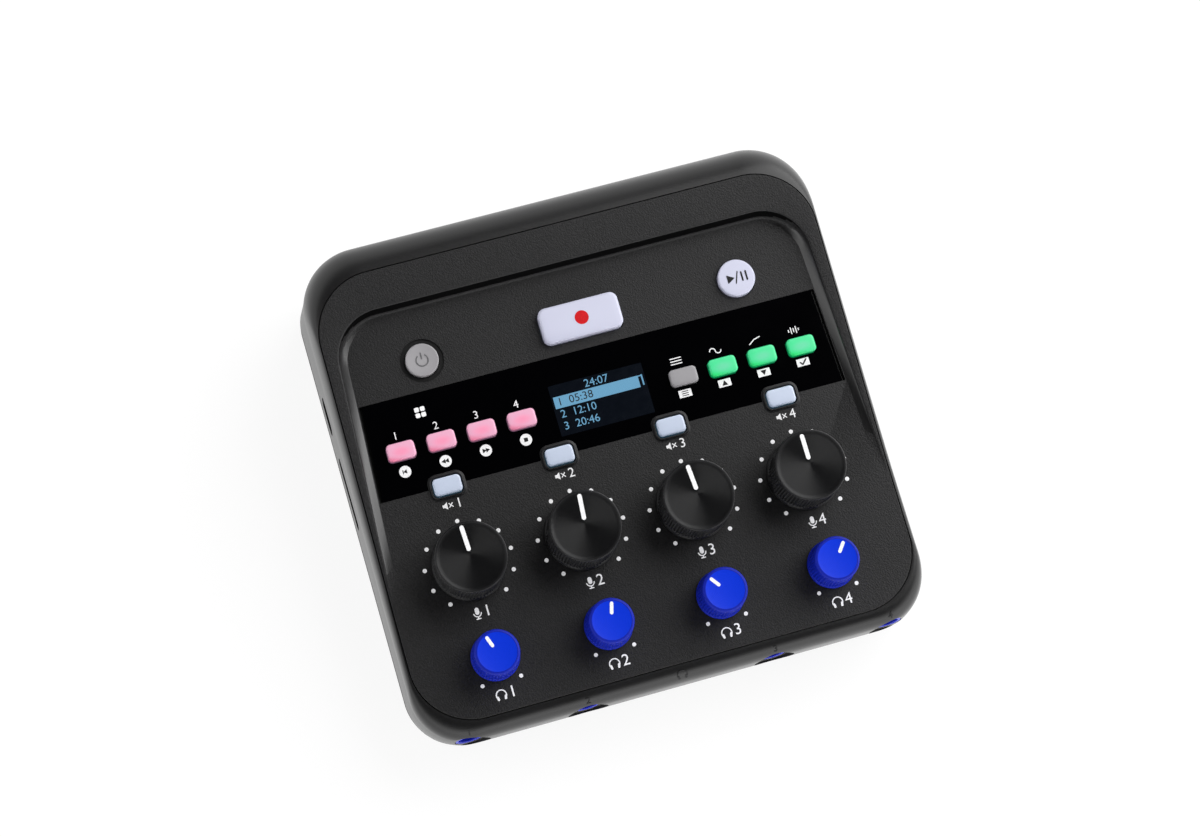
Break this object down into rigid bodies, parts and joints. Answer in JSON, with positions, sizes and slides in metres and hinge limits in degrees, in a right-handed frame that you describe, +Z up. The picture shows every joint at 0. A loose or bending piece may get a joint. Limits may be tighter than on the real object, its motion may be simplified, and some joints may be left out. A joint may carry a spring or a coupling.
{
  "type": "podcast recorder",
  "caption": "Black wedge-shaped desktop podcast recorder with gain and volume knobs, lit pads and keys, a display strip, record and play buttons, headphone jacks and microphone sockets.",
  "frame": {"origin": "on the table under the middle of the case", "axes": "+X to the right as seen by the person at the controls, +Y to the rear where the microphone sockets are, +Z up"},
  "size_m": [0.1557, 0.148, 0.0465],
  "materials": {
    "case_top": "fine spark texture on the panel, satin walls",
    "case_bottom": "fine spark texture",
    "strip_black": "polished",
    "display": "lit, polished",
    "board_green": "lacquered",
    "steel": "turned or stamped",
    "inner_plastic": "moulded",
    "bezel_grey": "satin",
    "socket_black": "moulded",
    "contact_brass": "plated",
    "ring_blue": "satin gloss",
    "cell_shell": "plain jacket",
    "foot_rubber": "matte",
    "knob_black": "ribbed sides, spun top, white pointer",
    "knob_blue": "satin, white pointer",
    "button_pale": "satin translucent",
    "button_grey": "satin",
    "pad_pink": "backlit translucent",
    "key_green": "backlit translucent",
    "switch_black": "satin"
  },
  "bodies": {
    "case": {"top_case": "case_top", "bottom_case": "case_bottom", "display_strip": "strip_black", "display_module": "display", "panel_board": "board_green", "board_screws": "steel", "main_board": "board_green", "key_switches": "inner_plastic", "gain_controls": "inner_plastic", "volume_controls": "inner_plastic", "mute_bezels": "bezel_grey", "mic_sockets": "socket_black", "mic_contacts": "contact_brass", "headphone_jacks": "socket_black", "headphone_rings": "ring_blue", "charge_port": "steel", "card_socket": "steel", "slide_switch_bodies": "inner_plastic", "battery_cells": "cell_shell", "battery_contacts": "steel", "rubber_feet": "foot_rubber", "case_screws": "steel"},
    "gain_1": {"gain_knob_1": "knob_black", "gain_shaft_1": "steel"},
    "gain_2": {"gain_knob_2": "knob_black", "gain_shaft_2": "steel"},
    "gain_3": {"gain_knob_3": "knob_black", "gain_shaft_3": "steel"},
    "gain_4": {"gain_knob_4": "knob_black", "gain_shaft_4": "steel"},
    "volume_1": {"volume_knob_1": "knob_blue", "volume_shaft_1": "steel"},
    "volume_2": {"volume_knob_2": "knob_blue", "volume_shaft_2": "steel"},
    "volume_3": {"volume_knob_3": "knob_blue", "volume_shaft_3": "steel"},
    "volume_4": {"volume_knob_4": "knob_blue", "volume_shaft_4": "steel"},
    "record_button_body": {"record_button": "button_pale"},
    "play_button_body": {"play_button": "button_pale"},
    "power_button_body": {"power_button": "button_grey"},
    "pad_button_1_body": {"pad_button_1": "pad_pink"},
    "pad_button_2_body": {"pad_button_2": "pad_pink"},
    "pad_button_3_body": {"pad_button_3": "pad_pink"},
    "pad_button_4_body": {"pad_button_4": "pad_pink"},
    "function_button_1_body": {"function_button_1": "button_grey"},
    "function_button_2_body": {"function_button_2": "key_green"},
    "function_button_3_body": {"function_button_3": "key_green"},
    "function_button_4_body": {"function_button_4": "key_green"},
    "mute_button_1_body": {"mute_button_1": "button_pale"},
    "mute_button_2_body": {"mute_button_2": "button_pale"},
    "mute_button_3_body": {"mute_button_3": "button_pale"},
    "mute_button_4_body": {"mute_button_4": "button_pale"},
    "slide_switch_long_body": {"slide_switch_long": "switch_black"},
    "slide_switch_short_body": {"slide_switch_short": "switch_black"},
    "door": {"battery_door": "case_bottom"}
  },
  "joints": [
    {"name": "gain_turn_1", "type": "hinge", "parent": "case", "child": "gain_1", "pos_m": [-0.05025, -0.02614, 0.03105], "axis": [0, -0.1045, 0.9945], "range_deg": [-143, 137]},
    {"name": "gain_turn_2", "type": "hinge", "parent": "case", "child": "gain_2", "pos_m": [-0.01675, -0.02614, 0.03105], "axis": [0, -0.1045, 0.9945], "range_deg": [-136, 144]},
    {"name": "gain_turn_3", "type": "hinge", "parent": "case", "child": "gain_3", "pos_m": [0.01675, -0.02614, 0.03105], "axis": [0, -0.1045, 0.9945], "range_deg": [-145, 135]},
    {"name": "gain_turn_4", "type": "hinge", "parent": "case", "child": "gain_4", "pos_m": [0.05025, -0.02614, 0.03105], "axis": [0, -0.1045, 0.9945], "range_deg": [-141, 139]},
    {"name": "volume_turn_1", "type": "hinge", "parent": "case", "child": "volume_1", "pos_m": [-0.05025, -0.05359, 0.02816], "axis": [0, -0.1045, 0.9945], "range_deg": [-161, 119]},
    {"name": "volume_turn_2", "type": "hinge", "parent": "case", "child": "volume_2", "pos_m": [-0.01675, -0.05359, 0.02816], "axis": [0, -0.1045, 0.9945], "range_deg": [-125, 155]},
    {"name": "volume_turn_3", "type": "hinge", "parent": "case", "child": "volume_3", "pos_m": [0.01675, -0.05359, 0.02816], "axis": [0, -0.1045, 0.9945], "range_deg": [-178, 102]},
    {"name": "volume_turn_4", "type": "hinge", "parent": "case", "child": "volume_4", "pos_m": [0.05025, -0.05359, 0.02816], "axis": [0, -0.1045, 0.9945], "range_deg": [-104, 176]},
    {"name": "record_button_press", "type": "slide", "parent": "case", "child": "record_button_body", "axis": [0, 0.1045, -0.9945], "range_m": [0, 0.0005], "stiffness_N_per_m": 800},
    {"name": "play_button_press", "type": "slide", "parent": "case", "child": "play_button_body", "axis": [0, 0.1045, -0.9945], "range_m": [0, 0.0005], "stiffness_N_per_m": 800},
    {"name": "power_button_press", "type": "slide", "parent": "case", "child": "power_button_body", "axis": [0, 0.1045, -0.9945], "range_m": [0, 0.0005], "stiffness_N_per_m": 800},
    {"name": "pad_button_1_press", "type": "slide", "parent": "case", "child": "pad_button_1_body", "axis": [0, 0.1045, -0.9945], "range_m": [0, 0.0005], "stiffness_N_per_m": 800},
    {"name": "pad_button_2_press", "type": "slide", "parent": "case", "child": "pad_button_2_body", "axis": [0, 0.1045, -0.9945], "range_m": [0, 0.0005], "stiffness_N_per_m": 800},
    {"name": "pad_button_3_press", "type": "slide", "parent": "case", "child": "pad_button_3_body", "axis": [0, 0.1045, -0.9945], "range_m": [0, 0.0005], "stiffness_N_per_m": 800},
    {"name": "pad_button_4_press", "type": "slide", "parent": "case", "child": "pad_button_4_body", "axis": [0, 0.1045, -0.9945], "range_m": [0, 0.0005], "stiffness_N_per_m": 800},
    {"name": "function_button_1_press", "type": "slide", "parent": "case", "child": "function_button_1_body", "axis": [0, 0.1045, -0.9945], "range_m": [0, 0.0005], "stiffness_N_per_m": 800},
    {"name": "function_button_2_press", "type": "slide", "parent": "case", "child": "function_button_2_body", "axis": [0, 0.1045, -0.9945], "range_m": [0, 0.0005], "stiffness_N_per_m": 800},
    {"name": "function_button_3_press", "type": "slide", "parent": "case", "child": "function_button_3_body", "axis": [0, 0.1045, -0.9945], "range_m": [0, 0.0005], "stiffness_N_per_m": 800},
    {"name": "function_button_4_press", "type": "slide", "parent": "case", "child": "function_button_4_body", "axis": [0, 0.1045, -0.9945], "range_m": [0, 0.0005], "stiffness_N_per_m": 800},
    {"name": "mute_button_1_press", "type": "slide", "parent": "case", "child": "mute_button_1_body", "axis": [0, 0.1045, -0.9945], "range_m": [0, 0.0005], "stiffness_N_per_m": 800},
    {"name": "mute_button_2_press", "type": "slide", "parent": "case", "child": "mute_button_2_body", "axis": [0, 0.1045, -0.9945], "range_m": [0, 0.0005], "stiffness_N_per_m": 800},
    {"name": "mute_button_3_press", "type": "slide", "parent": "case", "child": "mute_button_3_body", "axis": [0, 0.1045, -0.9945], "range_m": [0, 0.0005], "stiffness_N_per_m": 800},
    {"name": "mute_button_4_press", "type": "slide", "parent": "case", "child": "mute_button_4_body", "axis": [0, 0.1045, -0.9945], "range_m": [0, 0.0005], "stiffness_N_per_m": 800},
    {"name": "slide_switch_long_move", "type": "slide", "parent": "case", "child": "slide_switch_long_body", "axis": [0, 1, 0], "range_m": [-0.00125, 0.00125]},
    {"name": "slide_switch_short_move", "type": "slide", "parent": "case", "child": "slide_switch_short_body", "axis": [0, 1, 0], "range_m": [-0.00125, 0.00125]},
    {"name": "door_slide", "type": "slide", "parent": "case", "child": "door", "axis": [0, -1, 0], "range_m": [0, 0.006]}
  ]
}
